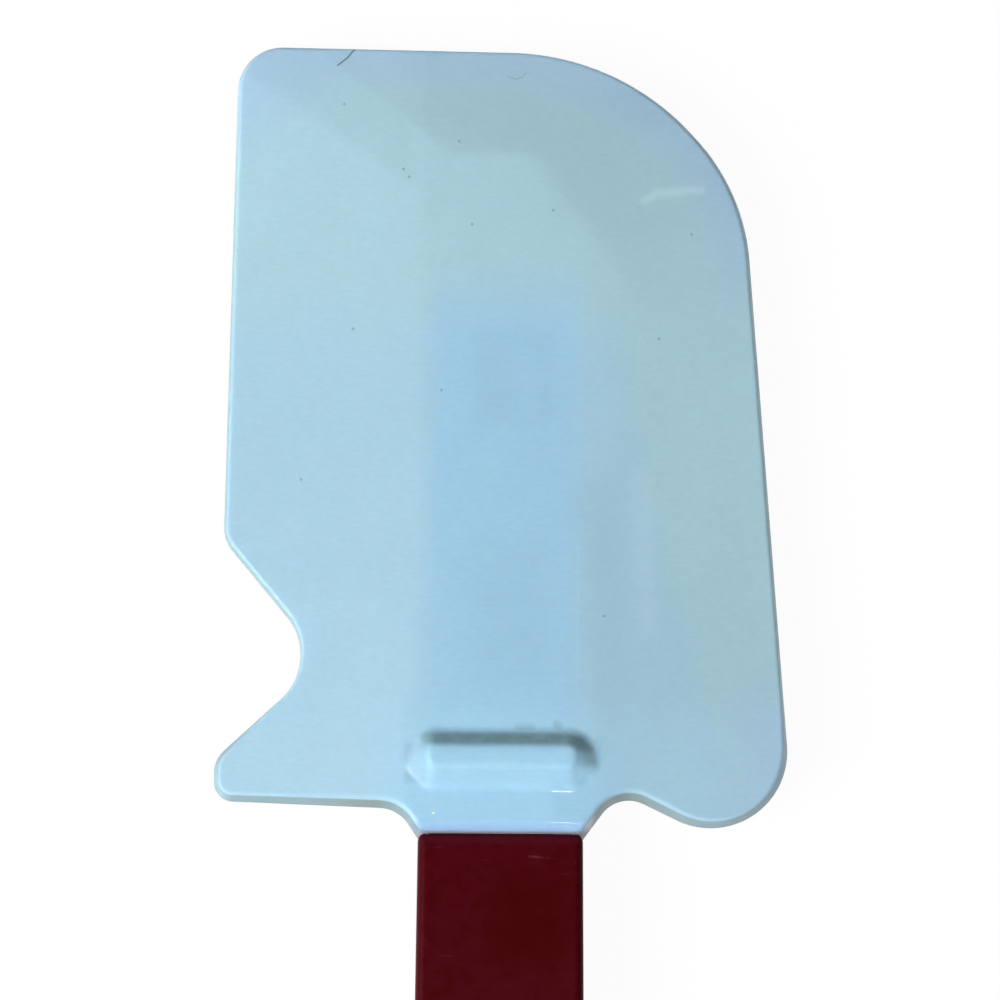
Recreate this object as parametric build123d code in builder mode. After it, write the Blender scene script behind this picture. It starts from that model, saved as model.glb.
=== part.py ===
from build123d import *
import os

# A flat scraper blade of silicone, moulded over the tang of a straight nylon handle.
# X runs across the tool, Y towards the blade's tip, Z up through the thickness.
# The origin is the middle of the lower rest's flat, which the tool lies on.
# All sizes are in millimetres.

# Whole tool
overall_length = 343.0
overrun = 5.0

# Handle
handle_thickness = 8.0
neck_width = 20.0
end_width = 23.4
end_corner_radius = 9.0
handle_edge_radius = 1.1

# Hang hole
hang_hole_radius = 4.5
hang_hole_inset = 13.0
hang_hole_rim_radius = 0.8

# Tang and the windows through it
tang_length = 65.3
tang_width = 17.0
tang_thickness = 3.6
tang_end_radius = 4.0
window_width = 9.0
window_corner_radius = 2.5
near_window_length = 16.0
near_window_reach = 17.4
far_window_length = 12.0
far_window_reach = 46.6

# Collar round the shoulder of the handle
neck_reach = 9.1
collar_rise = 1.0
collar_margin = 0.2
collar_lip_radius = 2.0

# Rest on each face
rest_rise = 2.15
rest_foot_length = 22.4
rest_foot_depth = 7.2
rest_foot_radius = 3.2
rest_foot_offset = 0.5
rest_foot_sink = 0.6
rest_top_length = 17.4
rest_top_depth = 2.8
rest_top_radius = 1.3
rest_edge_radius = 0.6

# Rim of the blade, corner by corner: places across and along, then radii
tip_reach = 89.5
tip_drop = 1.2
left_tip_half = 33.6
right_tip_half = 28.7
left_rim_half = 34.2
heel_half = 34.8
heel_back = 5.2
lobe_half = 35.9
lobe_back = 14.2
valley_half = 14.3
valley_back = 3.8
gullet_half = 12.4
gullet_back = 6.0
notch_floor_half = 21.8
notch_floor_reach = 11.9
notch_near_back = 0.2
notch_far_reach = 26.7
left_tip_radius = 5.7
right_tip_radius = 30.6
lobe_radius = 9.4
valley_radius = 4.0
gullet_radius = 4.4
heel_radius = 2.4
notch_near_radius = 3.6
notch_floor_radius = 7.3
notch_far_radius = 4.5

# Cross sections of the blade: how wide its flat back is, and where its wings bend
back_half = 9.7
wing_bend_half = 14.5

# Thickness on the back, at the wing's bend and at the rim: at the collar, midway and far out
collar_reach = 3.5
collar_bend_thickness = 8.6
collar_rim_thickness = 2.3
middle_reach = 25.0
middle_back_thickness = 8.0
middle_bend_thickness = 6.5
middle_rim_thickness = 2.1
far_reach = 75.5
far_back_thickness = 5.6
far_bend_thickness = 4.9
far_rim_thickness = 1.8

# Bevel to the blade's tip, steeper at first
tip_bevel_reach = 83.0
tip_bevel_thickness = 3.5
tip_thickness = 2.5

# Levels and places that follow from the sizes above
collar_half_thickness = handle_thickness / 2 + collar_rise
mid_z = collar_half_thickness + rest_rise
shoulder_y = -neck_reach
handle_end_y = tip_reach - overall_length
collar_half_width = neck_width / 2 + collar_margin
tang_end_y = shoulder_y + tang_length
mid_plane = Plane.XY.offset(mid_z)
rest_foot_half = collar_half_thickness - rest_foot_sink
bevel_share = (far_back_thickness - tip_bevel_thickness) / 2 / (tip_bevel_reach - far_reach)
bevel_start_y = far_reach - (collar_half_thickness - far_back_thickness / 2) / bevel_share


def cross_plane(y):
    """The plane across the tool at y, with X to the right and Z up."""
    return Plane(origin=(0, y, mid_z), x_dir=(1, 0, 0), z_dir=(0, -1, 0))


# Handle with its tang
with BuildPart() as handle:
    with BuildSketch(mid_plane) as handle_plan:
        with BuildLine():
            handle_side = FilletPolyline(
                (-neck_width / 2, shoulder_y),
                (-end_width / 2, handle_end_y),
                (end_width / 2, handle_end_y),
                (neck_width / 2, shoulder_y),
                radius=[end_corner_radius, end_corner_radius],
            )
            Line(handle_side @ 1, handle_side @ 0)
        make_face()
        with Locations((0, handle_end_y + hang_hole_inset)):
            Circle(hang_hole_radius, mode=Mode.SUBTRACT)
    extrude(amount=handle_thickness / 2, both=True)

    flat_faces = handle.faces().filter_by(Axis.Z)
    outer_edges = flat_faces.edges().filter_by(lambda edge: not edge.is_closed)
    fillet(outer_edges, handle_edge_radius)
    circles = handle.edges().filter_by(GeomType.CIRCLE)
    fillet(circles.filter_by(lambda edge: edge.is_closed), hang_hole_rim_radius)

    with BuildSketch(mid_plane) as tang_plan:
        with Locations((0, (shoulder_y + tang_end_y) / 2)):
            tang_outline = Rectangle(tang_width, tang_length)
        fillet(tang_outline.vertices().group_by(Axis.Y)[-1], tang_end_radius)
        windows = [(near_window_reach, near_window_length), (far_window_reach, far_window_length)]
        for reach, length in windows:
            with Locations((0, reach)):
                RectangleRounded(window_width, length, window_corner_radius, mode=Mode.SUBTRACT)
    extrude(amount=tang_thickness / 2, both=True)

# Blade with its collar and rests
with BuildPart() as blade:
    # Flat back over the tang, with wings that thin to the rim in two slopes
    collar_halves = [
        collar_half_thickness,
        collar_bend_thickness / 2,
        collar_rim_thickness / 2,
    ]
    middle_halves = [
        middle_back_thickness / 2,
        middle_bend_thickness / 2,
        middle_rim_thickness / 2,
    ]
    far_halves = [far_back_thickness / 2, far_bend_thickness / 2, far_rim_thickness / 2]
    sections = [
        (-lobe_back - overrun, collar_halves),
        (collar_reach, collar_halves),
        (middle_reach, middle_halves),
        (far_reach, far_halves),
        (tip_reach + overrun, far_halves),
    ]
    for section_y, (back, bend, rim) in sections:
        with BuildSketch(cross_plane(section_y)):
            with BuildLine():
                Polyline(
                    (-lobe_half, rim),
                    (-wing_bend_half, bend),
                    (-back_half, back),
                    (back_half, back),
                    (wing_bend_half, bend),
                    (lobe_half, rim),
                    (lobe_half, -rim),
                    (wing_bend_half, -bend),
                    (back_half, -back),
                    (-back_half, -back),
                    (-wing_bend_half, -bend),
                    (-lobe_half, -rim),
                    close=True,
                )
            make_face()
    loft(ruled=True)

    # Side view: the lip round the handle's shoulder, and the bevel to the tip
    with BuildSketch(Plane.YZ.offset(-lobe_half)) as side_view:
        with BuildLine():
            FilletPolyline(
                (shoulder_y, mid_z + collar_half_thickness),
                (bevel_start_y, mid_z + collar_half_thickness),
                (tip_bevel_reach, mid_z + tip_bevel_thickness / 2),
                (tip_reach, mid_z + tip_thickness / 2),
                (tip_reach, mid_z - tip_thickness / 2),
                (tip_bevel_reach, mid_z - tip_bevel_thickness / 2),
                (bevel_start_y, mid_z - collar_half_thickness),
                (shoulder_y, mid_z - collar_half_thickness),
                radius=[collar_lip_radius, 0, 0, 0, 0, 0, 0, collar_lip_radius],
                close=True,
            )
        make_face()
    extrude(amount=2 * lobe_half, mode=Mode.INTERSECT)

    # Rim
    with BuildSketch(mid_plane) as rim_plan:
        with BuildLine():
            FilletPolyline(
                (-collar_half_width, shoulder_y),
                (-gullet_half, -gullet_back),
                (-heel_half, -heel_back),
                (-heel_half, -notch_near_back),
                (-notch_floor_half, notch_floor_reach),
                (-left_rim_half, notch_far_reach),
                (-left_tip_half, tip_reach),
                (right_tip_half, tip_reach - tip_drop),
                (lobe_half, -lobe_back),
                (valley_half, -valley_back),
                (collar_half_width, shoulder_y),
                radius=[
                    0,
                    gullet_radius,
                    heel_radius,
                    notch_near_radius,
                    notch_floor_radius,
                    notch_far_radius,
                    left_tip_radius,
                    right_tip_radius,
                    lobe_radius,
                    valley_radius,
                    0,
                ],
                close=True,
            )
        make_face()
    extrude(amount=mid_z, both=True, mode=Mode.INTERSECT)

    # Rest on each face, on one foot through the blade
    with BuildSketch(mid_plane):
        with Locations((0, -rest_foot_offset)):
            RectangleRounded(rest_foot_length, rest_foot_depth, rest_foot_radius)
    extrude(amount=rest_foot_half, both=True)
    for side in (1, -1):
        foot_plane = Plane(
            origin=(0, 0, mid_z + side * rest_foot_half), x_dir=(side, 0, 0), z_dir=(0, 0, side)
        )
        with BuildSketch(foot_plane):
            with Locations((0, -rest_foot_offset)):
                RectangleRounded(rest_foot_length, rest_foot_depth, rest_foot_radius)
        with BuildSketch(foot_plane.offset(mid_z - rest_foot_half)):
            RectangleRounded(rest_top_length, rest_top_depth, rest_top_radius)
        loft(ruled=True)
    rest_edges = blade.edges().group_by(Axis.Z)
    fillet(rest_edges[0] + rest_edges[-1], rest_edge_radius)

    # Room for the tang: the silicone fills its windows
    add(handle.part, mode=Mode.SUBTRACT)

blade.part.label = "blade"
handle.part.label = "handle"

os.makedirs("parts", exist_ok=True)
export_step(blade.part, "parts/blade.step")
export_step(handle.part, "parts/handle.step")
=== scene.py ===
import math

import bpy
import numpy as np
from mathutils import Matrix, Vector, geometry, kdtree


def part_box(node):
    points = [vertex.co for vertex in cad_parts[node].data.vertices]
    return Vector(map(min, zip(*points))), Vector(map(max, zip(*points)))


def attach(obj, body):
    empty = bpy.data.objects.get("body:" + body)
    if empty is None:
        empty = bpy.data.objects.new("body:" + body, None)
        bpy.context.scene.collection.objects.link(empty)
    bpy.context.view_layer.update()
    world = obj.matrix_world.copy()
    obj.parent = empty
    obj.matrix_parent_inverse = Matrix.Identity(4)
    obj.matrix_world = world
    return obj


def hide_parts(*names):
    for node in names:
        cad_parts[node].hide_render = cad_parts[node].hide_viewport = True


# The looks of a silicone scraper blade on a maroon nylon handle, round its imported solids.
# Shapes are worked out in millimetres, in the frame of the solids, and built in metres.
# Half thicknesses are measured from the middle plane, and both faces are alike.
MM = 0.001

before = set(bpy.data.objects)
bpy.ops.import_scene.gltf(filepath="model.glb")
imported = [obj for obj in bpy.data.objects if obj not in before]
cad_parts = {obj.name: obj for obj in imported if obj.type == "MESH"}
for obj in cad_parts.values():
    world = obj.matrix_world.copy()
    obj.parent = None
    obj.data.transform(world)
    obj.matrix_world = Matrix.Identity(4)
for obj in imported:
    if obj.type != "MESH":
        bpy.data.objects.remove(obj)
bpy.context.view_layer.update()
blade_low, blade_high = (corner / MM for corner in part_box("blade"))
handle_low, handle_high = (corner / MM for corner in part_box("handle"))

# Places that follow from the frame
MID_Z = (blade_low.z + blade_high.z) / 2
REST_HALF = (blade_high.z - blade_low.z) / 2
NECK_Y = blade_low.y
HANDLE_HALF = (handle_high.z - handle_low.z) / 2
HANDLE_END_Y = handle_low.y
TANG_END_Y = handle_high.y

# Camera: nearly straight above, leaning towards the handle
CAMERA_TARGET = Vector((-0.33, 31.95, 7.15)) * MM
CAMERA_DISTANCE = 400 * MM
CAMERA_TILT = math.radians(9.0)
CAMERA_ROLL = math.radians(0.40)
CAMERA_LENS = 117.1
CAMERA_SENSOR = 36.0
CAMERA_CLIP = (0.01, 20)

# Rim of the blade seen from above: places across and along, and corner radii. Its last corners
# are those of a tongue inside the handle.
NECK_X = 10.35
RIM = (
    (-NECK_X, NECK_Y, 0.9),
    (-12.4, -6.0, 4.4),
    (-34.8, -5.2, 2.4),
    (-34.8, -0.2, 3.6),
    (-21.8, 11.9, 7.3),
    (-34.2, 26.7, 4.5),
    (-33.5, 89.45, 5.6),
    (14.1, 88.64, 30.9),
    (29.87, 71.3, 26.2),
    (35.9, -14.2, 9.4),
    (14.3, -3.8, 4.0),
    (NECK_X, NECK_Y, 0.9),
    (9.7, NECK_Y - 0.95, 0.9),
    (8.0, NECK_Y - 2.9, 0.9),
    (-8.0, NECK_Y - 2.9, 0.9),
    (-9.7, NECK_Y - 0.95, 0.9),
)
RIM_ROUNDING = 0.45
NECK_ROUNDING = 0.65
NECK_ROUNDING_REACH = (6.0, 16.0)

# Walls: how far they lean in, and their rows as shares of the height and of that lean. The rows
# close together near height zero are the parting line.
RIM_DRAFT = 0.28
NECK_DRAFT = 0.62
NECK_DRAFT_Y = (8, -3)
HANDLE_DRAFT = 0.1
WALL_ROWS = ((0.75, 0.25), (0.4, 0.6), (0.12, 0.85), (0.05, 0.88), (0.0, 1.0))

# Cross sections: half thicknesses on the back, at the wing's bend and at the rim
BACK_X = 9.7
BEND_X = 14.5
OUTER_X = 35.9
SECTIONS_Y = (3.5, 25.0, 75.5)
BACK_HALF = (5.0, 4.0, 2.8)
BACK_CROWN = 0.15
BEND_HALF = (4.3, 3.25, 2.45)
RIM_HALF = (1.15, 1.02, 0.78)
ALONG_BLEND = 0.3
BACK_BLEND = 0.1
BEND_BLEND = 0.12

# Bevel to the tip, steeper at first, and the facet that cuts the back's far right corner
BEVEL_Y = (75.5, 83.0, 89.5)
BEVEL_HALF = (2.8, 1.75, 1.25)
BEVEL_BLEND = 0.12
CORNER_BLEND = 0.4
CORNER_AT = (3.0, 74.6)
CORNER_FACING = (0.816, 0.579)
CORNER_HALF = 2.82
CORNER_SLOPE_SHARE = 0.1
LEFT_CORNER_AT = (-27.2, 82.3)
LEFT_CORNER_HALF = 1.46
LEFT_CORNER_SLOPES = (0.035, -0.061)

# Lip of the collar round the handle, with a narrow flat
LIP_RADIUS = 2.0
LIP_FLAT = (0.12, 0.48)
LIP_FALL_SHARE = 1.5
LEAST_HALF = 0.3

# Rest across the neck: its flat top, how far its sides run out, and its rise
REST_TOP_X = (-8.65, 8.95)
REST_TOP_NEAR_Y = -1.3
REST_TOP_FAR_Y = 1.05
REST_RUN_X = 2.1
REST_RUN_NEAR = 2.05
REST_RUN_FAR = 2.0
REST_POINT_Y = -1.3
REST_POINT_NEAR_SHARE = 0.12
REST_POINT_FAR_SHARE = 0.05
REST_LEAST_RUN_SHARE = 0.1
REST_RISE = 2.15
REST_CORNER_SHARE = 0.5
REST_EDGE_BLEND = 0.3
REST_FOOT_BLEND = 0.5
REST_TOE_BLEND = 0.9

# Handle seen from above, with its tang, and the holes through them
HANDLE_NECK_X = 10.0
HANDLE_FOOT_X = 11.7
HANDLE_NECK_RADIUS = 0.85
HANDLE_FOOT_RADIUS = 9.0
HANDLE_ROUNDING = 1.1
HOLE_Y = HANDLE_END_Y + 13.0
HOLE_RADIUS = 4.5
HOLE_ROUNDING = 0.8
HOLE_ROUNDING_REACH = HOLE_RADIUS + 2
TANG_X = 8.5
TANG_HALF = 1.8
TANG_END_RADIUS = 4.0
TANG_ROOT_RADIUS = 0.2
TANG_ROUNDING = 0.05
WINDOW_X = 4.5
WINDOW_RADIUS = 2.5
WINDOWS_Y = ((9.4, 25.4), (40.6, 52.6))

# How closely meshes follow their outlines and edges. A circle is drawn as a square whose corner
# radii stay just under half its side.
OUTLINE_STEP = 0.4
LOOP_DEPTHS = (0.04, 0.1, 0.18, 0.3, 0.45, 0.65, 0.9, 1.2, 1.55)
LOOP_CLEARANCE_SHARE = 0.97
MOST_ROUNDING_SHARE = 0.8
CIRCLE_SHARE = 0.999
SEAM = 0.01
MERGE_DISTANCE = 1e-5
TOUCH_DISTANCE = 1e-6

# Boxes filled with points, with their steps, and rows of points on the lip and the shoulder
GRID_MARGIN = 1.8
BLADE_GRIDS = (
    ((-36, -14), (36, 92), 0.8),
    ((-13, NECK_Y + LIP_RADIUS + 0.1), (13, 6), 0.25),
    ((-24, 70), (36, 86), 0.5),
)
HANDLE_GRID = ((-11, HANDLE_END_Y), (11, TANG_END_Y), 2.0)
LIP_ROWS = (0, 0.06, 0.12, 0.18, 0.3, 0.42, 0.48, 0.54, *np.arange(0.7, 2.9, 0.15))
LIP_ROW_X = 9.6
LIP_ROW_STEP = 0.2
LIP_ROW_MARGIN = 0.8
SHOULDER_ROWS = (*LOOP_DEPTHS, 2.0)
SHOULDER_ROW_X = TANG_X - 0.1
SHOULDER_ROW_STEP = 0.4
SHOULDER_ROW_MARGIN = 0.02


def make_camera():
    data = bpy.data.cameras.new("camera")
    data.lens = CAMERA_LENS
    data.sensor_width = CAMERA_SENSOR
    data.clip_start, data.clip_end = CAMERA_CLIP
    camera = bpy.data.objects.new("camera", data)
    bpy.context.scene.collection.objects.link(camera)
    turn = Matrix.Rotation(CAMERA_TILT, 4, "X") @ Matrix.Rotation(CAMERA_ROLL, 4, "Z")
    back = turn @ Vector((0, 0, CAMERA_DISTANCE))
    camera.matrix_world = Matrix.Translation(CAMERA_TARGET + back) @ turn
    bpy.context.scene.camera = camera


def soft_max(a, b, k):
    return (a + b + np.sqrt((a - b) ** 2 + k * k)) / 2


def soft_min(a, b, k):
    return (a + b - np.sqrt((a - b) ** 2 + k * k)) / 2


def hollow_max(a, b, k):
    """The larger of two heights, with a hollow that starts where they are k apart."""
    return np.maximum(a, b) + np.clip(k - np.abs(a - b), 0, None) ** 2 / (4 * k)


def smooth_step(value, low, high):
    t = np.clip((value - low) / (high - low), 0, 1)
    return t * t * (3 - 2 * t)


def line_through(value, start, end, first, last):
    """The straight line that is first at start and last at end, carried on past both."""
    return first + (last - first) * (value - start) / (end - start)


def along(y, halves):
    """A half thickness that changes along the blade: level, then falling in two slopes."""
    first = line_through(y, *SECTIONS_Y[:2], *halves[:2])
    second = line_through(y, *SECTIONS_Y[1:], *halves[1:])
    return soft_min(soft_max(first, second, ALONG_BLEND), halves[0], ALONG_BLEND)


def section_half(x, y):
    """Half thickness across the blade: a nearly flat back, and wings that thin in two slopes."""
    back, bend, rim = along(y, BACK_HALF), along(y, BEND_HALF), along(y, RIM_HALF)
    inner = line_through(np.abs(x), BACK_X, BEND_X, back - BACK_CROWN, bend)
    outer = line_through(np.abs(x), BEND_X, OUTER_X, bend, rim)
    crowned = back - BACK_CROWN * (x / BACK_X) ** 2
    return soft_min(soft_max(inner, outer, BEND_BLEND), crowned, BACK_BLEND)


def bevel_half(y):
    """Half thickness of the bevel to the tip."""
    steep = line_through(y, *BEVEL_Y[:2], *BEVEL_HALF[:2])
    gentle = line_through(y, *BEVEL_Y[1:], *BEVEL_HALF[1:])
    return soft_max(steep, gentle, BEND_BLEND)


def corner_half(x, y):
    """Half thickness of the facet that cuts the back's far right corner."""
    out = (x - CORNER_AT[0]) * CORNER_FACING[0] + (y - CORNER_AT[1]) * CORNER_FACING[1]
    return CORNER_HALF - CORNER_SLOPE_SHARE * out


def left_corner_half(x, y):
    """Half thickness of the chamfer between the left wing and the bevel."""
    across = (x - LEFT_CORNER_AT[0]) * LEFT_CORNER_SLOPES[0]
    return LEFT_CORNER_HALF + across + (y - LEFT_CORNER_AT[1]) * LEFT_CORNER_SLOPES[1]


def lip_half(y):
    """Upper limit of the collar: a quarter round at the handle, then a fall inside it."""
    past = np.clip(NECK_Y + LIP_RADIUS - y, 0, None)
    round_part = np.sqrt(np.clip(LIP_RADIUS**2 - past**2, 0, None)) - LIP_RADIUS
    ends = [math.sqrt(LIP_RADIUS**2 - end**2) - LIP_RADIUS for end in LIP_FLAT]
    flat = line_through(past, *LIP_FLAT, *ends)
    on_flat = (past > LIP_FLAT[0]) & (past < LIP_FLAT[1])
    fall = np.where(on_flat, flat, round_part)
    return BACK_HALF[0] + fall - LIP_FALL_SHARE * np.clip(past - LIP_RADIUS, 0, None)


def rest_half(x, y):
    """Half thickness of the rest: a flat top with rounded edges, and ends that run to a point."""
    off_point = y - REST_POINT_Y
    shorter = np.maximum(off_point * REST_POINT_FAR_SHARE, -off_point * REST_POINT_NEAR_SHARE)
    past_side = np.maximum(REST_TOP_X[0] - x, x - REST_TOP_X[1])
    past_side = past_side / (REST_RUN_X * np.clip(1 - shorter, REST_LEAST_RUN_SHARE, 1))
    past_end = np.maximum((y - REST_TOP_FAR_Y) / REST_RUN_FAR, (REST_TOP_NEAR_Y - y) / REST_RUN_NEAR)
    out = np.hypot(
        np.clip(past_side + REST_CORNER_SHARE, 0, None),
        np.clip(past_end + REST_CORNER_SHARE, 0, None),
    )
    fall = REST_RISE * (out - REST_CORNER_SHARE)
    level = soft_max(-REST_RISE * REST_CORNER_SHARE, 0, REST_EDGE_BLEND)
    return REST_HALF - soft_max(fall, 0, REST_EDGE_BLEND) + level


def blade_half(x, y):
    plate = soft_min(section_half(x, y), left_corner_half(x, y), BEVEL_BLEND)
    plate = soft_min(plate, bevel_half(y), BEVEL_BLEND)
    plate = soft_min(plate, corner_half(x, y), CORNER_BLEND)
    body = np.minimum(plate, lip_half(y))
    near = smooth_step(y, REST_TOP_FAR_Y, REST_TOP_NEAR_Y)
    hollow = REST_FOOT_BLEND + (REST_TOE_BLEND - REST_FOOT_BLEND) * near
    return np.clip(hollow_max(body, rest_half(x, y), hollow), LEAST_HALF, REST_HALF)


def blade_rounding(x, y):
    """Radius of the rim's edge, larger beside the neck."""
    away = np.hypot(np.abs(x) - NECK_X, y - NECK_Y)
    return NECK_ROUNDING + (RIM_ROUNDING - NECK_ROUNDING) * smooth_step(away, *NECK_ROUNDING_REACH)


def blade_draft(x, y):
    """How far the wall leans in from the parting line to a face, more near the handle."""
    return RIM_DRAFT + (NECK_DRAFT - RIM_DRAFT) * smooth_step(y, *NECK_DRAFT_Y)


def handle_draft(x, y):
    return np.full(len(x), HANDLE_DRAFT)


def on_shoulder(x, y):
    """True on the part of the handle that ends in the tang's root."""
    return (np.abs(x) < TANG_X - SEAM) & (y > NECK_Y - 2 * HANDLE_ROUNDING)


def handle_half(x, y):
    short = np.clip(1 - (NECK_Y - y) / HANDLE_ROUNDING, 0, 1)
    shoulder_half = HANDLE_HALF - HANDLE_ROUNDING * (1 - np.sqrt(1 - short**2))
    bar_half = np.where(on_shoulder(x, y), shoulder_half, HANDLE_HALF)
    return np.where(y > NECK_Y + SEAM, TANG_HALF, bar_half)


def handle_rounding(x, y):
    near_hole = np.hypot(x, y - HOLE_Y) < HOLE_ROUNDING_REACH
    bar_rounding = np.where(near_hole, HOLE_ROUNDING, HANDLE_ROUNDING)
    bar_rounding = np.where(on_shoulder(x, y), TANG_ROUNDING, bar_rounding)
    return np.where(y > NECK_Y + SEAM, TANG_ROUNDING, bar_rounding)


def rounded_outline(corners):
    """Points and outward normals round a closed outline whose corners have radii."""
    places = [Vector(corner[:2]) for corner in corners]
    count = len(corners)
    area = sum(places[i - 1].cross(places[i]) for i in range(count))
    if area < 0:
        return rounded_outline(corners[::-1])
    points, normals = [], []
    for i, (corner, place) in enumerate(zip(corners, places)):
        arriving = (place - places[i - 1]).normalized()
        leaving = (places[(i + 1) % count] - place).normalized()
        turn = math.atan2(arriving.cross(leaving), arriving.dot(leaving))
        side = Vector((-arriving.y, arriving.x)) * math.copysign(1, turn)
        centre = place - arriving * corner[2] * math.tan(abs(turn) / 2) + side * corner[2]
        steps = max(2, math.ceil(corner[2] * abs(turn) / OUTLINE_STEP))
        for step in range(steps + 1):
            spoke = -side.copy()
            spoke.rotate(Matrix.Rotation(turn * step / steps, 2))
            points.append(centre + spoke * corner[2])
            normals.append(spoke * math.copysign(1, turn))
    dense, dense_normals = [], []
    for i, (point, normal) in enumerate(zip(points, normals)):
        run = points[(i + 1) % len(points)] - point
        steps = max(1, round(run.length / OUTLINE_STEP))
        for step in range(steps):
            dense.append(point + run * step / steps)
            dense_normals.append(normal if step == 0 else Vector((run.y, -run.x)).normalized())
    return np.array(dense), np.array(dense_normals)


def rounded_hole(left, right, near, far, radius):
    """The outline of a hole, whose normals point into it."""
    corners = [(right, far, radius), (right, near, radius), (left, near, radius), (left, far, radius)]
    points, normals = rounded_outline(corners)
    return points[::-1], -normals[::-1]


def grid_points(low, high, step):
    """Points on a grid over a box, every other row moved by half a step."""
    xs = np.arange(low[0], high[0] + step, step)
    ys = np.arange(low[1], high[1] + step, step)
    x, y = np.meshgrid(xs, ys)
    x = x + step / 2 * (np.arange(len(ys)) % 2)[:, None]
    return np.stack([x.ravel(), y.ravel()], axis=1)


def row_points(rows_y, half_width, step):
    """Points along rows across the tool."""
    xs = np.arange(-half_width, half_width + step / 2, step)
    return np.concatenate([np.stack([xs, np.full(len(xs), y)], axis=1) for y in rows_y])


def flat_face(outlines, grids, draft):
    """A face seen from above: its places, their depths and outward normals, and its triangles.

    outlines are (points, normals) pairs, the outer one first and then holes. grids are points
    with the margin that they keep from the outlines. A depth is how far a place lies inside an
    outline, infinite on the grids, and a normal is zero away from the outlines.
    """
    edge = np.concatenate([points for points, normals in outlines])
    edge_normals = np.concatenate([normals for points, normals in outlines])
    edge = edge - edge_normals * draft(*edge.T)[:, None]
    tree = kdtree.KDTree(len(edge))
    for i, point in enumerate(edge):
        tree.insert((*point, 0), i)
    tree.balance()

    def reach(x, y):
        """How far a place lies inside the nearest outline, and how far off its nearest point."""
        found, i, distance = tree.find((x, y, 0))
        return (found.x - x) * edge_normals[i][0] + (found.y - y) * edge_normals[i][1], distance

    def inside(points, margin):
        reaches = [reach(x, y) for x, y in points]
        return points[np.array([inward > 0 and off > margin for inward, off in reaches], bool)]

    layers = [edge]
    depths = [np.zeros(len(edge))]
    for depth in LOOP_DEPTHS:
        layers.append(inside(edge - edge_normals * depth, depth * LOOP_CLEARANCE_SHARE))
        depths.append(np.full(len(layers[-1]), depth))
    for points, margin in grids:
        layers.append(inside(points, margin))
        depths.append(np.full(len(layers[-1]), np.inf))
    flat = np.concatenate(layers)

    loops = []
    first = 0
    for points, normals in outlines:
        count = len(points)
        loops += [(first + i, first + (i + 1) % count) for i in range(count)]
        first += count
    made = geometry.delaunay_2d_cdt([Vector(p) for p in flat], loops, [], 1, MERGE_DISTANCE)
    origin = np.array([source[0] for source in made[3]])
    on_edge = origin < len(edge)
    normals = np.zeros((len(origin), 2))
    normals[on_edge] = edge_normals[origin[on_edge]]
    places = flat[origin]

    faces = []
    for face in map(list, made[2]):
        inward, off = reach(*places[face].mean(axis=0))
        if inward > -TOUCH_DISTANCE or not on_edge[face].all():
            faces.append(face)
    return places, np.concatenate(depths)[origin], normals, faces


def moulded_mesh(name, outlines, grids, half, rounding, draft):
    """A closed mesh between two like faces: half gives the height over the middle plane.

    The faces' edges follow a rounding, and a drafted wall with a parting line joins them.
    """
    places, depths, normals, faces = flat_face(outlines, grids, draft)
    x, y = places.T
    height = half(x, y)
    radius = np.minimum(rounding(x, y), MOST_ROUNDING_SHARE * height)
    short = np.clip(1 - depths / radius, 0, 1)
    height = height - radius * (1 - np.sqrt(1 - short**2))

    count = len(places)
    edges = {(a, b) for face in faces for a, b in zip(face, face[1:] + face[:1])}
    rim = sorted(pair for pair in edges if pair[::-1] not in edges)
    rows = [*WALL_ROWS, *((-share, out) for share, out in WALL_ROWS[-2::-1])]
    lean = normals * draft(x, y)[:, None]
    walls = []
    seats = {}
    for a in sorted({a for a, b in rim}):
        first = 2 * count + len(walls)
        walls += [(*(places[a] + lean[a] * out), height[a] * share) for share, out in rows]
        seats[a] = [a, *range(first, first + len(rows)), a + count]
    vertices = [np.stack([x, y, height], 1), np.stack([x, y, -height], 1), np.array(walls)]
    polygons = faces + [[i + count for i in reversed(face)] for face in faces]
    for a, b in rim:
        for row in range(len(rows) + 1):
            polygons.append([seats[b][row], seats[a][row], seats[a][row + 1], seats[b][row + 1]])

    mesh = bpy.data.meshes.new(name)
    mesh.from_pydata((np.concatenate(vertices) + (0, 0, MID_Z)) * MM, [], polygons)
    mesh.polygons.foreach_set("use_smooth", [True] * len(mesh.polygons))
    mesh.validate()
    piece = bpy.data.objects.new(name, mesh)
    bpy.context.scene.collection.objects.link(piece)
    return piece


def make_blade():
    lip_rows = [NECK_Y + LIP_RADIUS - past for past in LIP_ROWS]
    grids = [(grid_points(*box), GRID_MARGIN) for box in BLADE_GRIDS]
    grids.append((row_points(lip_rows, LIP_ROW_X, LIP_ROW_STEP), LIP_ROW_MARGIN))
    outlines = [rounded_outline(RIM)]
    return moulded_mesh("silicone_blade", outlines, grids, blade_half, blade_rounding, blade_draft)


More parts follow.
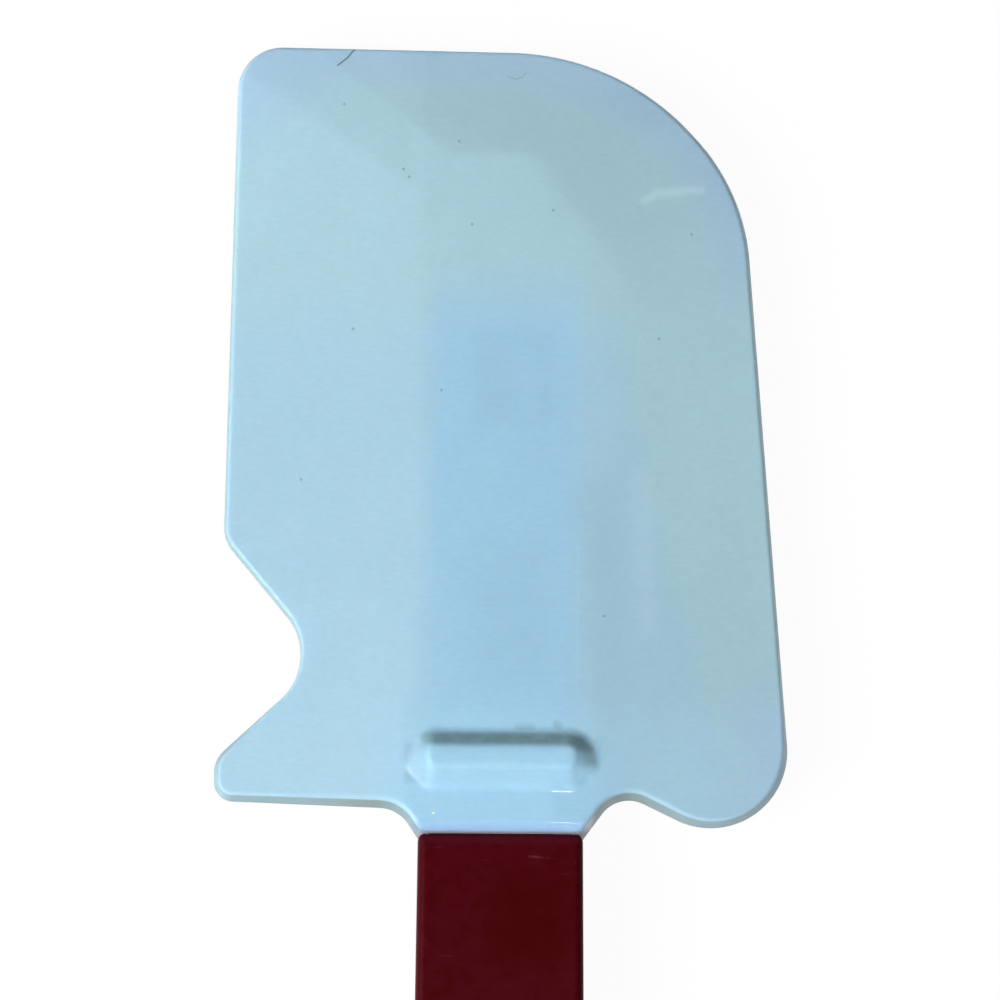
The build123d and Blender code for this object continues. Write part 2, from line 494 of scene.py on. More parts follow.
def make_handle():
    outer = [
        (HANDLE_NECK_X, NECK_Y, HANDLE_NECK_RADIUS),
        (HANDLE_FOOT_X, HANDLE_END_Y, HANDLE_FOOT_RADIUS),
        (-HANDLE_FOOT_X, HANDLE_END_Y, HANDLE_FOOT_RADIUS),
        (-HANDLE_NECK_X, NECK_Y, HANDLE_NECK_RADIUS),
        (-TANG_X, NECK_Y, TANG_ROOT_RADIUS),
        (-TANG_X, TANG_END_Y, TANG_END_RADIUS),
        (TANG_X, TANG_END_Y, TANG_END_RADIUS),
        (TANG_X, NECK_Y, TANG_ROOT_RADIUS),
    ]
    hole_y = (HOLE_Y - HOLE_RADIUS, HOLE_Y + HOLE_RADIUS)
    outlines = [
        rounded_outline(outer),
        rounded_hole(-HOLE_RADIUS, HOLE_RADIUS, *hole_y, HOLE_RADIUS * CIRCLE_SHARE),
        *(rounded_hole(-WINDOW_X, WINDOW_X, *reach, WINDOW_RADIUS) for reach in WINDOWS_Y),
    ]
    rows = row_points([NECK_Y - depth for depth in SHOULDER_ROWS], SHOULDER_ROW_X, SHOULDER_ROW_STEP)
    grids = [(grid_points(*HANDLE_GRID), GRID_MARGIN), (rows, SHOULDER_ROW_MARGIN)]
    return moulded_mesh("nylon_handle", outlines, grids, handle_half, handle_rounding, handle_draft)


def put(tree, socket, value):
    """Links the value to the socket if it is a socket too, or else sets it."""
    if isinstance(value, bpy.types.NodeSocket):
        tree.links.new(value, socket)
    elif value is not None:
        socket.default_value = value


def add_node(tree, kind, sockets=(), **settings):
    """A new node, with its settings and its first sockets set or linked."""
    made = tree.nodes.new(kind)
    for name, value in settings.items():
        setattr(made, name, value)
    for socket, value in zip(made.inputs, sockets):
        put(tree, socket, value)
    return made


def srgb(red, green, blue):
    """A colour written as it shows on a screen, 0 to 255, in the linear values that shaders take."""
    shares = [value / 255 for value in (red, green, blue)]
    return (*(s / 12.92 if s < 0.0405 else ((s + 0.055) / 1.055) ** 2.4 for s in shares), 1)


# Values of the shared shading calls: how soon the upper face counts as such, which cells of the
# speck pattern hold a speck, and the share of the normal that is upright on a wall
WHITE = (1, 1, 1, 1)
UPPER_SOFT = 0.1
SPECK_CELLS = (0.5, 1.0)
LEAST_SPECK = 0.0001
WALL_UPRIGHT = (0.6, 0.2)


class Shading:
    """Short calls for one material's nodes. Places and sizes are in millimetres.

    A change is two values between which a smooth step runs from 0 to 1, or also the two results.
    A box is two corners seen from above and how far its sides fade on each side.
    """

    def __init__(self, name):
        self.material = bpy.data.materials.new(name)
        self.material.use_nodes = True
        self.tree = self.material.node_tree
        self.shader = self.tree.nodes["Principled BSDF"]
        scale = self.node("ShaderNodeVectorMath", operation="SCALE")
        self.put(scale.inputs[0], self.node("ShaderNodeTexCoord").outputs["Object"])
        self.put(scale.inputs["Scale"], 1 / MM)
        self.place = scale.outputs[0]
        self.x, self.y, self.z = self.node("ShaderNodeSeparateXYZ", [self.place]).outputs
        self.plan = self.node("ShaderNodeCombineXYZ", [self.x, self.y]).outputs[0]
        self.off_middle = self.math("ABSOLUTE", self.x)
        self.upper = self.ramp(self.z, MID_Z - UPPER_SOFT, MID_Z + UPPER_SOFT)

    def node(self, kind, sockets=(), **settings):
        return add_node(self.tree, kind, sockets, **settings)

    def put(self, socket, value):
        put(self.tree, socket, value)

    def math(self, operation, *values, clamp=False):
        return self.node("ShaderNodeMath", values, operation=operation, use_clamp=clamp).outputs[0]

    def each(self, operation, values):
        """The result of an operation on the first two values, then on that and the next."""
        result = values[0]
        for value in values[1:]:
            result = self.math(operation, result, value)
        return result

    def product(self, *values):
        return self.each("MULTIPLY", values)

    def least(self, *values):
        return self.each("MINIMUM", values)

    def most(self, *values):
        return self.each("MAXIMUM", values)

    def vector(self, operation, *values):
        return self.node("ShaderNodeVectorMath", values, operation=operation).outputs

    def ramp(self, value, start, end, low=0.0, high=1.0):
        """low before start, high after end, and a smooth change between them."""
        sockets = [value, start, end, low, high]
        if start > end:
            sockets = [value, end, start, high, low]
        return self.node("ShaderNodeMapRange", sockets, interpolation_type="SMOOTHSTEP").outputs[0]

    def blend(self, share, first, second, kind="MIX"):
        made = self.node("ShaderNodeMix", data_type="RGBA", blend_type=kind)
        for name, value in (("Factor_Float", share), ("A_Color", first), ("B_Color", second)):
            self.put(next(s for s in made.inputs if s.identifier == name), value)
        return next(s for s in made.outputs if s.identifier == "Result_Color")

    def noise(self, size, detail, stretch=None):
        """Noise from 0 to 1 whose lumps are about size wide."""
        place = self.vector("MULTIPLY", self.place, stretch)[0] if stretch else self.place
        return self.node("ShaderNodeTexNoise", [place, None, 1 / size, detail]).outputs[0]

    def clouds(self, size, detail, *change, stretch=None):
        """A change over noise."""
        return self.ramp(self.noise(size, detail, stretch), *change)

    def off(self, at):
        """The way from a place to the shaded point, both seen from above."""
        return self.vector("SUBTRACT", self.plan, (*at, 0))[0]

    def line(self, at, facing):
        """How far a place is past a line seen from above, the way that the line faces."""
        return self.vector("DOT_PRODUCT", self.off(at), (*facing, 0))["Value"]

    def box(self, low, high, soft):
        """1 inside a box seen from above, fading out over soft on each side."""
        return self.product(
            self.ramp(self.x, low[0] - soft, low[0] + soft),
            self.ramp(self.x, high[0] + soft, high[0] - soft),
            self.ramp(self.y, low[1] - soft, low[1] + soft),
            self.ramp(self.y, high[1] + soft, high[1] - soft),
        )

    def mark(self, start, end, width, soft):
        """1 on a line from start to end of the upper face, fading out over soft."""
        run = Vector((*end, 0)) - Vector((*start, 0))
        off = self.off(start)
        if run.length > 0:
            done = self.vector("DOT_PRODUCT", off, run / run.length_squared)["Value"]
            near = self.node("ShaderNodeVectorMath", [run], operation="SCALE")
            self.put(near.inputs["Scale"], self.math("MULTIPLY", done, 1.0, clamp=True))
            off = self.vector("SUBTRACT", off, near.outputs[0])[0]
        length = self.vector("LENGTH", off)["Value"]
        return self.product(self.ramp(length, width / 2 + soft, width / 2), self.upper)

    def trail(self, points, width, soft):
        """1 along a run of short marks."""
        return self.most(*(self.mark(a, b, width, soft) for a, b in zip(points, points[1:])))

    def specks(self, spacing, radius):
        """1 on small round specks, in some of the cells of that spacing."""
        cells = self.node("ShaderNodeTexVoronoi", [self.place, None, 1 / spacing])
        size = self.ramp(cells.outputs["Color"], *SPECK_CELLS, 0.0, radius / spacing)
        size = self.math("MAXIMUM", size, LEAST_SPECK)
        return self.math("LESS_THAN", cells.outputs["Distance"], size)

    def wall(self):
        """1 on faces that stand upright."""
        normal = self.node("ShaderNodeNewGeometry").outputs["Normal"]
        up = self.node("ShaderNodeSeparateXYZ", [normal]).outputs[2]
        return self.ramp(self.math("ABSOLUTE", up), *WALL_UPRIGHT)

    def share_tone(self, share, tone):
        """1 where share is 0, and tone where it is 1."""
        return self.math("MULTIPLY_ADD", share, tone - 1, 1.0)

    def toned(self, share, colour, tone):
        """A colour multiplied by another one where share is 1."""
        return self.blend(share, colour, self.blend(1.0, colour, tone, "MULTIPLY"))

    def bump(self, size, detail, strength, distance):
        """Adds a relief of noise to the shader's normal."""
        normal = self.shader.inputs["Normal"]
        made = self.node("ShaderNodeBump")
        before = normal.links[0].from_socket if normal.links else None
        self.put(made.inputs["Strength"], strength)
        self.put(made.inputs["Distance"], distance * MM)
        self.put(made.inputs["Height"], self.noise(size, detail))
        self.put(made.inputs["Normal"], before)
        self.put(normal, made.outputs[0])

    def finish(self, colour, roughness, **values):
        self.put(self.shader.inputs["Base Color"], colour)
        self.put(self.shader.inputs["Roughness"], roughness)
        for name, value in values.items():
            self.put(self.shader.inputs[name.replace("_", " ")], value)
        return self.material


# Silicone: its colours where it is plain, beside and over the tang, at the neck, painted reflections on
# the collar's lip, the sky's blue on its roll and the handle's red at that lip's very end, and along the
# far and rounded parts of the rim
SILICONE_PLAIN = srgb(173, 206, 216)
SILICONE_BLUE = srgb(170, 204, 221)
SILICONE_TANG = srgb(163, 203, 225)
SILICONE_NECK = srgb(164, 205, 227)
SILICONE_LIP_SKY_REFLECTION = srgb(159, 194, 229)
SILICONE_LIP_HANDLE_REFLECTION = srgb(184, 190, 214)
SILICONE_RIM = srgb(169, 199, 222)
SILICONE_RIM_SHARE = 0.75

# Where those colours change. The border of the blue one wavers.
WAVER_NOISE = (9, 2)
WAVER = 8.0
BLUE_CHANGE_Y = (TANG_END_Y + 3, TANG_END_Y - 7)
BLUE_RIGHT_LINE = ((10.5, 57.0), (0.968, 0.251))
BLUE_RIGHT_CHANGE = (3, -1)
TANG_BOX = ((-TANG_X - 0.4, -30), (TANG_X + 0.6, TANG_END_Y + 20), 1.8)
TANG_CHANGE_Y = (TANG_END_Y + 6, TANG_END_Y - 5)
NECK_CHANGE_Y = (10, -6)
NECK_CHANGE_X = (18, 9)
LIP_CHANGE_Y = (NECK_Y + 1.9, NECK_Y + 0.4)
LIP_END_CHANGE_Y = (NECK_Y + 0.35, NECK_Y + 0.1)
FAR_RIM_CHANGE_Y = (82, 88)
ROUND_RIM_CENTRE = (1.5, 58.0)
ROUND_RIM_CHANGE = (22.6, 28.6)
ROUND_RIM_CHANGE_X = (-4, 8)
ROUND_RIM_CHANGE_Y = (52, 66)
LEFT_CORNER_LINE = ((-27.0, 81.0), (-0.6, 0.8))
LEFT_CORNER_CHANGE = (-5, 5)
LOBE_RIM_CHANGE_X = (24, 32)
LOBE_RIM_CHANGE_Y = (12, 2)

# Painted shade: darker tones of the tip, with the right corner's facet, and of the strip left of the back
TIP_TONE = 0.915
TIP_LINE = ((0, 75.0), (0, 1))
TIP_LEFT_LINE = ((-6.9, 75.3), (0.606, 0.795))
TIP_PALER_X = (26, 4, 0.5, 1.0)
TIP_PALER_Y = (90, 80, 0.75, 1.0)
LINE_SOFT = 0.9
CORNER_SOFT = 2.4
CORNER_CHANGE_Y = (46, 76)
STRIP_TONE = 0.955
STRIP_LINE = ((-11.5, 71.2), (0.577, 0.817))
STRIP_CHANGE_X = (-9.5, -13)

# Tones of the back, the wings, the windows through the tang, and the rest's ends and edges. Those of the
# back and the wings are painted shade and painted light, the rest's left end gets painted shade, its right
# end painted light, and its near edges painted highlights
BACK_TONE = 0.978
BACK_CHANGE_X = (-10.6, -9.4)
BACK_CHANGE_Y = (3, 9)
BACK_FAR_TONE = 1.018
BACK_FAR_BOX = ((5.0, 48.0), (10.0, 67.0), 4.0)
RIGHT_WING_TONE = 0.985
RIGHT_WING_CHANGE_X = (9, 17)
RIGHT_WING_CHANGE_Y = (-8, 4)
RIGHT_STRIP_TONE = 0.975
RIGHT_STRIP_BOX = ((8.6, 3), (14.0, 34), 1.6)
LEFT_WING_CHANGE_X = (-9, -15)
LEFT_WING_CHANGE_Y = (12, 26)
LEFT_WING_NEAR_TONE = 0.982
LEFT_WING_NEAR_CHANGE_Y = (60, 35)
LEFT_WING_FAR_TONE = 1.024
LEFT_WING_FAR_CHANGE_Y = (55, 75)
WINDOW_TONE = 0.968
WINDOW_FIELD_X = (0.8 - WINDOW_X, WINDOW_X + 1.6)
WINDOW_SOFTS = (2.8, 1.1)
WINDOW_CLOUDS = (6, 2, 0.3, 0.6, 0.6, 1.2)
REST_LEFT_TONE = 0.87
REST_LEFT_BOX = ((-11.6, -3.2), (-8.9, 1.6), 0.4)
REST_RIGHT_TONE = 1.22
REST_RIGHT_BOX = ((9.2, -2.6), (10.9, 0.6), 0.5)
REST_EDGE_TONE = 1.035
REST_EDGE_BOXES = (((-9.0, -1.7), (8.7, -1.2), 0.2), ((-9.4, -3.9), (9.0, -3.2), 0.3))
GRAIN_CLOUDS = (0.5, 3, 0.3, 0.7, 0.98, 1.02)
GRAIN_STRETCH = (0.5, 1.3, 1.0)
BROAD_CLOUDS = (5, 3, 0.3, 0.7, 0.993, 1.007)

# Painted shade on the walls, deeper near the handle, and painted shade with some dirt caught in the crease
# behind the rest, and loose dirt lying behind it
WALL_TONE = (0.69, 0.73, 0.69, 1)
NEAR_WALL_TONE = (0.52, 0.53, 0.47, 1)
NEAR_WALL_CHANGE_Y = (6, -4)
NEAR_WALL_CHANGE_X = (24, 15, 0.35, 1.0)
DIRT_AND_SHADE_TONE = (0.56, 0.56, 0.5, 1)
DIRT_AND_SHADE_CLOUDS = (1.4, 3, 0.3, 0.6, 0.8, 1.0)
CREASE_SHADE_AND_DIRT = (((-9.0, 2.1), (7.6, 2.1), (9.3, 1.7), (10.3, 0.7), (10.5, -0.4)), 0.62, 0.9)
CREASE_SHADE_AND_DIRT_CHANGE_X = (-10.5, -7.5, 0.3, 1.0)
CREASE_SHADE_AND_DIRT_CHANGE_Y = (-0.6, 1.8, 0.25, 1.0)
LOOSE_DIRT = ((((2.1, 3.6), (3.6, 3.6)), 0.5, 0.5), (((6.7, 3.9), (6.9, 3.8)), 0.5, 0.5))
LOOSE_DIRT_SHARE = 0.35

# Marks on the upper face, as points with the width, the softness and the share of the colour: a
# lodged hair and a nick that are dark, and a scratch, two streaks and a painted glint that are pale
DARK_MARK = srgb(70, 84, 88)
DARK_MARKS = (
    (((-18.8, 89.0), (-19.8, 87.7), (-21.0, 86.7)), 0.1, 0.1, 0.75),
    (((0.3, 85.4), (1.2, 84.95), (2.2, 85.3), (2.5, 85.8)), 0.08, 0.1, 0.25),
)
PALE_MARK_AND_GLINT = srgb(225, 240, 244)
PALE_MARKS_AND_GLINT = (
    (((17.4, 69.4), (18.9, 70.4), (24.5, 71.0)), 0.2, 0.8, 0.2),
    (((9.2, 26.0), (9.2, 8.5)), 0.05, 0.2, 0.07),
    (((16.8, 34.0), (17.8, 16.0)), 0.2, 2.4, 0.06),
    # painted glint on the left of the collar's lip
    (((-8.1, -6.8), (-8.0, -6.8)), 0.15, 0.12, 1.0),
)

# Dark specks: placed ones on the upper face, and a pattern of them on the lower face
SPECKS = (
    (-20.1, 81.6), (-12.6, 73.1), (-11.9, 72.1), (-4.0, 66.0), (-5.7, 76.7), (6.0, 67.9),
    (-18.6, 52.8), (19.1, 51.8), (23.2, 65.2), (12.4, 17.2), (-7.6, 45.0), (-24.7, 34.0),
)
SPECK_WIDTH = 0.22
SPECK_SOFT = 0.14
SPECK_SHARE = 0.4
LOWER_SPECKS = (9.0, 0.24)

# Surface of the silicone, and the place beside the collar whose gloss gives glints
SILICONE_BUMPS = ((0.22, 2, 0.12, 0.05), (7, 2, 0.25, 0.25))
SILICONE_ROUGHNESS = (3, 3, 0.3, 0.7, 0.34, 0.42)
GLOSSY_BOX = ((6.3, -8.3), (10.9, -3.2), 0.8)


def silicone_colour(s):
    """The colour of plain silicone, changed over the tang, at the neck and along the rim, with painted
    reflections on the collar's lip.
    """
    waver = s.product(s.math("SUBTRACT", s.noise(*WAVER_NOISE), 0.5), WAVER)
    blue = s.product(
        s.ramp(s.math("ADD", s.y, waver), *BLUE_CHANGE_Y),
        s.ramp(s.math("ADD", s.line(*BLUE_RIGHT_LINE), waver), *BLUE_RIGHT_CHANGE),
    )
    tang = s.product(s.box(*TANG_BOX), s.ramp(s.y, *TANG_CHANGE_Y))
    neck = s.product(s.ramp(s.y, *NECK_CHANGE_Y), s.ramp(s.off_middle, *NECK_CHANGE_X))
    round_rim = s.product(
        s.ramp(s.vector("LENGTH", s.off(ROUND_RIM_CENTRE))["Value"], *ROUND_RIM_CHANGE),
        s.ramp(s.x, *ROUND_RIM_CHANGE_X),
        s.ramp(s.y, *ROUND_RIM_CHANGE_Y),
    )
    left_corner = s.ramp(s.line(*LEFT_CORNER_LINE), *LEFT_CORNER_CHANGE)
    lobe_rim = s.product(s.ramp(s.x, *LOBE_RIM_CHANGE_X), s.ramp(s.y, *LOBE_RIM_CHANGE_Y))
    rim = s.most(s.ramp(s.y, *FAR_RIM_CHANGE_Y), round_rim, left_corner, lobe_rim)
    colour = SILICONE_PLAIN
    for share, next_colour in (
        (blue, SILICONE_BLUE),
        (tang, SILICONE_TANG),
        (neck, SILICONE_NECK),
        # painted reflections: the sky's blue on the lip's roll, the handle's red at its very end
        (s.ramp(s.y, *LIP_CHANGE_Y), SILICONE_LIP_SKY_REFLECTION),
        (s.ramp(s.y, *LIP_END_CHANGE_Y), SILICONE_LIP_HANDLE_REFLECTION),
        (s.product(rim, SILICONE_RIM_SHARE), SILICONE_RIM),
    ):
        colour = s.blend(share, colour, next_colour)
    return colour


def silicone_tone(s):
    """How dark each part of the face is, 1 where it is plain: mostly painted shade and light, besides the
    windows' tone and grain.
    """
    # painted shade on the tip's bevel, the right corner's facet and the strip left of the back
    tip = s.ramp(s.least(s.line(*TIP_LINE), s.line(*TIP_LEFT_LINE)), -LINE_SOFT, LINE_SOFT)
    corner = s.ramp(s.line(CORNER_AT, CORNER_FACING), -LINE_SOFT, CORNER_SOFT)
    corner = s.product(corner, s.ramp(s.y, *CORNER_CHANGE_Y))
    tip = s.product(s.most(tip, corner), s.ramp(s.x, *TIP_PALER_X), s.ramp(s.y, *TIP_PALER_Y))
    strip = s.ramp(s.line(*STRIP_LINE), -LINE_SOFT, LINE_SOFT)
    strip = s.product(strip, s.ramp(s.x, *STRIP_CHANGE_X))
    # painted shade and painted light over the back and the wings
    back = s.product(s.ramp(s.x, *BACK_CHANGE_X), s.ramp(s.y, *BACK_CHANGE_Y))
    left, right = WINDOW_FIELD_X
    windows = s.most(*(
        s.box((left, low), (right, high), soft)
        for (low, high), soft in zip(WINDOWS_Y, WINDOW_SOFTS)
    ))
    right_wing = s.product(s.ramp(s.x, *RIGHT_WING_CHANGE_X), s.ramp(s.y, *RIGHT_WING_CHANGE_Y))
    left_wing = s.product(s.ramp(s.x, *LEFT_WING_CHANGE_X), s.ramp(s.y, *LEFT_WING_CHANGE_Y))
    shares_and_tones = (
        (back, BACK_TONE),
        (s.box(*BACK_FAR_BOX), BACK_FAR_TONE),
        (right_wing, RIGHT_WING_TONE),
        (s.box(*RIGHT_STRIP_BOX), RIGHT_STRIP_TONE),
        (s.product(left_wing, s.ramp(s.y, *LEFT_WING_NEAR_CHANGE_Y)), LEFT_WING_NEAR_TONE),
        (s.product(left_wing, s.ramp(s.y, *LEFT_WING_FAR_CHANGE_Y)), LEFT_WING_FAR_TONE),
        (s.product(windows, s.clouds(*WINDOW_CLOUDS)), WINDOW_TONE),
        # painted shade on the rest's left end, painted light on its right end, painted highlights on its
        # near edges
        (s.box(*REST_LEFT_BOX), REST_LEFT_TONE),
        (s.box(*REST_RIGHT_BOX), REST_RIGHT_TONE),
        (s.most(*(s.box(*box) for box in REST_EDGE_BOXES)), REST_EDGE_TONE),
    )
    return s.product(
        s.least(s.share_tone(tip, TIP_TONE), s.share_tone(strip, STRIP_TONE)),
        *(s.share_tone(share, tone) for share, tone in shares_and_tones),
        s.clouds(*GRAIN_CLOUDS, stretch=GRAIN_STRETCH),
        s.clouds(*BROAD_CLOUDS),
    )


def silicone():
    s = Shading("silicone")
    tone = silicone_tone(s)
    tone = s.node("ShaderNodeCombineXYZ", [tone, tone, tone]).outputs[0]
    colour = s.blend(1.0, silicone_colour(s), tone, "MULTIPLY")
    # painted shade on the upright walls, deeper near the handle
    near_wall = s.product(s.ramp(s.y, *NEAR_WALL_CHANGE_Y), s.ramp(s.off_middle, *NEAR_WALL_CHANGE_X))
    colour = s.toned(s.wall(), colour, s.blend(near_wall, WALL_TONE, NEAR_WALL_TONE))

    # painted shade, with some dirt, in the crease behind the rest's far wall and round its right end;
    # loose dirt lies further back
    crease_shade_and_dirt = s.product(
        s.trail(*CREASE_SHADE_AND_DIRT),
        s.ramp(s.y, *CREASE_SHADE_AND_DIRT_CHANGE_Y),
        s.ramp(s.x, *CREASE_SHADE_AND_DIRT_CHANGE_X),
    )
    loose = s.product(s.most(*(s.trail(*dirt) for dirt in LOOSE_DIRT)), LOOSE_DIRT_SHARE)
    colour = s.toned(s.product(s.most(crease_shade_and_dirt, loose), s.clouds(*DIRT_AND_SHADE_CLOUDS)), colour, DIRT_AND_SHADE_TONE)

    below = s.product(s.specks(*LOWER_SPECKS), s.math("SUBTRACT", 1.0, s.upper))
    specks = s.most(below, *(s.mark(place, place, SPECK_WIDTH, SPECK_SOFT) for place in SPECKS))
    dark = [(s.trail(*trail), share) for *trail, share in DARK_MARKS]
    for mark, share in (*dark, (specks, SPECK_SHARE)):
        colour = s.blend(s.product(mark, share), colour, DARK_MARK)
    # pale marks, the last of them a painted glint on the collar's lip
    for *trail, share in PALE_MARKS_AND_GLINT:
        colour = s.blend(s.product(s.trail(*trail), share), colour, PALE_MARK_AND_GLINT)

    for relief in SILICONE_BUMPS:
        s.bump(*relief)
    return s.finish(
        colour,
        s.clouds(*SILICONE_ROUGHNESS),
        Coat_Weight=s.box(*GLOSSY_BOX),
        Coat_Roughness=0.07,
        Subsurface_Weight=1.0,
        Subsurface_Radius=(0.8, 1.0, 1.1),
        Subsurface_Scale=0.3 * MM,
        IOR=1.41,
        Specular_IOR_Level=0.35,
    )


# Nylon: deep where it is wiped, hazed elsewhere, with a painted highlight at the shoulder and along the
# left edge
NYLON = (0.049, 0.0004, 0.0008, 1)
NYLON_HAZED = (0.058, 0.0014, 0.0045, 1)
NYLON_SHOULDER_HIGHLIGHT = (0.066, 0.0045, 0.011, 1)
NYLON_EDGE_HIGHLIGHT = (0.085, 0.012, 0.019, 1)
WIPED_BOX = ((-1.0, -25.0), (8.0, -14.0), 3.5)
WIPED_CLOUDS = (5, 3, 0.15, 0.35)
HAZE_CLOUDS = (1.8, 6, 0.3, 0.7, 0.25, 1.5)
SHOULDER_CHANGE_Y = (NECK_Y - 1.7, NECK_Y - 0.6)
EDGE_SLOPE = 0.007
EDGE_CHANGE_X = (-9.0, -9.9)
EDGE_SHARE = 0.5

# Flecks of dust, hairlines and a scuff on the nylon
NYLON_SCUFFED = (0.105, 0.013, 0.021, 1)
FLECKS = (0.9, 0.13)
FLECK_CLOUDS = (4, 2, 0.4, 0.6)
FLECK_SHARE = 0.6
HAIRLINES = (0.5, 2, 0.64, 0.72)
HAIRLINE_STRETCH = (0.12, 1.6, 1.0)
HAIRLINE_CLOUDS = (6, 2, 0.48, 0.6)
HAIRLINE_SHARE = 0.45
SCUFF = (((3.4, -11.8), (6.4, -12.1)), 0.1, 0.15)
SCUFF_CLOUDS = (0.3, 2, 0.35, 0.55)
NYLON_BUMP = (0.16, 2, 0.15, 0.02)
NYLON_ROUGHNESS = (2, 3, 0.3, 0.7, 0.3, 0.36)


def nylon():
    s = Shading("nylon")
    wiped = s.product(s.box(*WIPED_BOX), s.clouds(*WIPED_CLOUDS))
    haze = s.product(s.math("SUBTRACT", 1.0, wiped), s.clouds(*HAZE_CLOUDS))
    # painted highlight along the left edge, on the side towards the key lamp
    across = s.math("ADD", s.x, s.math("MULTIPLY", s.y, -EDGE_SLOPE))
    edge = s.product(s.ramp(across, *EDGE_CHANGE_X), EDGE_SHARE)
    flecks = s.product(s.specks(*FLECKS), s.clouds(*FLECK_CLOUDS), FLECK_SHARE)
    hairlines = s.clouds(*HAIRLINES, stretch=HAIRLINE_STRETCH)
    hairlines = s.product(hairlines, s.clouds(*HAIRLINE_CLOUDS), HAIRLINE_SHARE)
    scuff = s.product(s.trail(*SCUFF), s.clouds(*SCUFF_CLOUDS))
    colour = NYLON
    for share, next_colour in (
        (haze, NYLON_HAZED),
        # painted highlight at the shoulder
        (s.ramp(s.y, *SHOULDER_CHANGE_Y), NYLON_SHOULDER_HIGHLIGHT),
        (edge, NYLON_EDGE_HIGHLIGHT),
        (s.product(s.most(flecks, hairlines, scuff), haze), NYLON_SCUFFED),
    ):
        colour = s.blend(share, colour, next_colour)
    s.bump(*NYLON_BUMP)
    return s.finish(colour, s.clouds(*NYLON_ROUGHNESS), Specular_IOR_Level=0.03)


# Studio: a pale floor, a soft key lamp on the left, a small lamp for glints, a sky that is dark
# overhead, and a white backdrop low round the floor
FLOOR_REACH = 3
FLOOR_COLOUR = (0.9, 0.9, 0.9, 1)
FLOOR_ROUGHNESS = 0.9
FLOOR_SPECULAR = 0.1
FLOOR_LIFT_SHARE = 0.955
SKY_STRENGTH = 0.24
SKY_OVERHEAD_STRENGTH = 0.08
SKY_OVERHEAD_REACH = (0.97, 0.85)
BACKDROP_REACH = (0.2, 0.24)
LIT_PLACE = Vector((0, 32, 10)) * MM
KEY_FROM = (-0.9, -0.45, 1.0)
KEY_AWAY = 2.5
KEY_SIZE = (1.3, 1.3)
KEY_POWER = 75.0
GLINT_PLACE = Vector((9, -7, 12)) * MM
GLINT_FROM = (0.07, -0.241, 0.968)
GLINT_AWAY = 0.6
GLINT_SIZE = (0.13, 0.04)
GLINT_POWER = 0.45


def seen_share(tree, share):
    """The share for rays from the camera, a gloss or glass, and 0 for those that carry light."""
    path = add_node(tree, "ShaderNodeLightPath")
    seen = path.outputs["Is Camera Ray"]
    for name in ("Is Glossy Ray", "Is Transmission Ray"):
        seen = add_node(tree, "ShaderNodeMath", [seen, path.outputs[name]], operation="MAXIMUM").outputs[0]
    return add_node(tree, "ShaderNodeMath", [seen, share], operation="MULTIPLY").outputs[0]


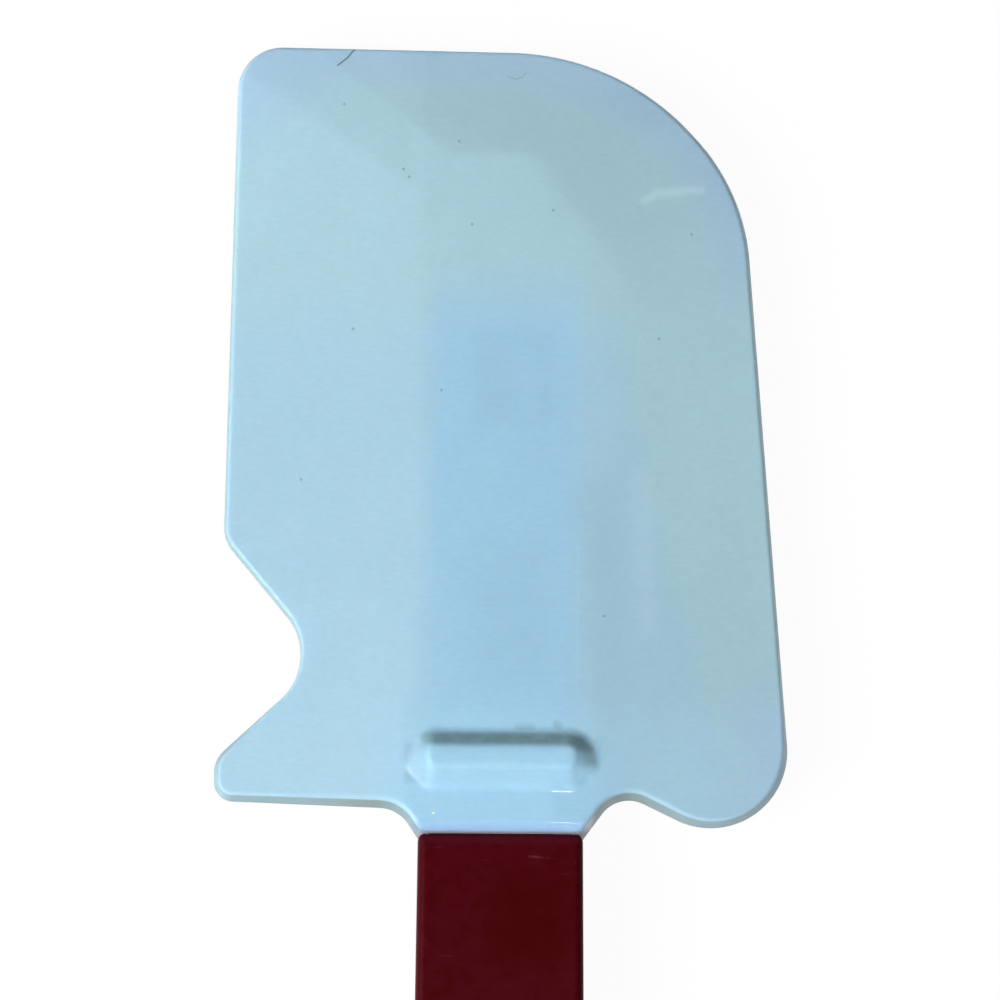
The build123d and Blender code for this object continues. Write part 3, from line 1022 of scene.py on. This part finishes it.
def make_floor():
    """A pale floor that keeps the shadow and shows as the photograph's white background."""
    mesh = bpy.data.meshes.new("floor")
    signs = ((-1, -1), (1, -1), (1, 1), (-1, 1))
    mesh.from_pydata([(x * FLOOR_REACH, y * FLOOR_REACH, 0) for x, y in signs], [], [[0, 1, 2, 3]])
    floor = bpy.data.objects.new("floor", mesh)
    bpy.context.scene.collection.objects.link(floor)
    material = bpy.data.materials.new("floor")
    material.use_nodes = True
    tree = material.node_tree
    matt = tree.nodes["Principled BSDF"]
    matt.inputs["Base Color"].default_value = FLOOR_COLOUR
    matt.inputs["Roughness"].default_value = FLOOR_ROUGHNESS
    matt.inputs["Specular IOR Level"].default_value = FLOOR_SPECULAR
    glow = add_node(tree, "ShaderNodeEmission", [WHITE])
    shaders = [seen_share(tree, FLOOR_LIFT_SHARE), matt.outputs[0], glow.outputs[0]]
    mix = add_node(tree, "ShaderNodeMixShader", shaders)
    put(tree, tree.nodes["Material Output"].inputs["Surface"], mix.outputs[0])
    mesh.materials.append(material)


def make_lamp(name, lit, direction, away, size, power):
    """A panel lamp that faces the place it lights, its long side across the tool."""
    lamp = bpy.data.objects.new(name, bpy.data.lights.new(name, "AREA"))
    bpy.context.scene.collection.objects.link(lamp)
    lamp.data.shape = "RECTANGLE"
    lamp.data.size, lamp.data.size_y = size
    lamp.data.energy = power
    back = Vector(direction).normalized()
    across = (Vector((1, 0, 0)) - back * back.x).normalized()
    turn = Matrix((across, back.cross(across), back)).transposed()
    lamp.matrix_world = Matrix.Translation(lit + back * away) @ turn.to_4x4()


def make_light():
    world = bpy.data.worlds.new("studio")
    bpy.context.scene.world = world
    world.use_nodes = True
    tree = world.node_tree
    direction = add_node(tree, "ShaderNodeTexCoord").outputs["Generated"]
    up = add_node(tree, "ShaderNodeSeparateXYZ", [direction]).outputs[2]
    strengths = [up, *SKY_OVERHEAD_REACH, SKY_OVERHEAD_STRENGTH, SKY_STRENGTH]
    sky = tree.nodes["Background"]
    sky.inputs["Color"].default_value = WHITE
    put(tree, sky.inputs["Strength"], add_node(tree, "ShaderNodeMapRange", strengths).outputs[0])
    low = add_node(tree, "ShaderNodeMapRange", [up, *BACKDROP_REACH, 1, 0]).outputs[0]
    white = add_node(tree, "ShaderNodeBackground", [WHITE])
    shaders = [seen_share(tree, low), sky.outputs[0], white.outputs[0]]
    mix = add_node(tree, "ShaderNodeMixShader", shaders)
    put(tree, tree.nodes["World Output"].inputs["Surface"], mix.outputs[0])
    make_lamp("key", LIT_PLACE, KEY_FROM, KEY_AWAY, KEY_SIZE, KEY_POWER)
    make_lamp("glint", GLINT_PLACE, GLINT_FROM, GLINT_AWAY, GLINT_SIZE, GLINT_POWER)
    bpy.context.scene.view_settings.view_transform = "Standard"


make_camera()
blade = make_blade()
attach(blade, "root")
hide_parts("blade")
blade.data.materials.append(silicone())
handle = make_handle()
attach(handle, "root")
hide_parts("handle")
handle.data.materials.append(nylon())
make_floor()
make_light()

bpy.context.view_layer.update()
